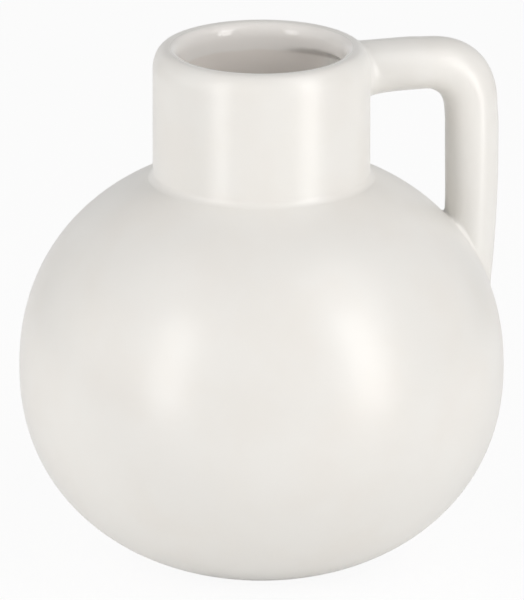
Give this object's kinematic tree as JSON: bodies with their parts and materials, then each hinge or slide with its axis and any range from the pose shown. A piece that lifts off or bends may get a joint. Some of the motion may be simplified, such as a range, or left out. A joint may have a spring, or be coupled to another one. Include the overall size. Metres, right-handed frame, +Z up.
{
  "type": "vase",
  "caption": "Round white-glazed ceramic jug vase: a hollow globe, a straight neck with a rounded lip, and a bent bar handle from neck to shoulder. Holds water and stems.",
  "frame": {"origin": "centre of the foot, on the surface that the vase stands on", "axes": "+Z up along the neck's axis, +X towards the handle"},
  "size_m": [0.151, 0.15, 0.1635],
  "materials": {
    "white_glaze": "satin",
    "bare_clay": "matte"
  },
  "bodies": {
    "root": {"globe_body": "white_glaze", "neck_collar": "white_glaze", "handle": "white_glaze", "neck_slip_fillet": "white_glaze", "upper_handle_slip_fillet": "white_glaze", "lower_handle_slip_fillet": "white_glaze", "floor_disc": "white_glaze", "foot_ring": "bare_clay", "floor_slip_fillet": "white_glaze"}
  },
  "joints": []
}
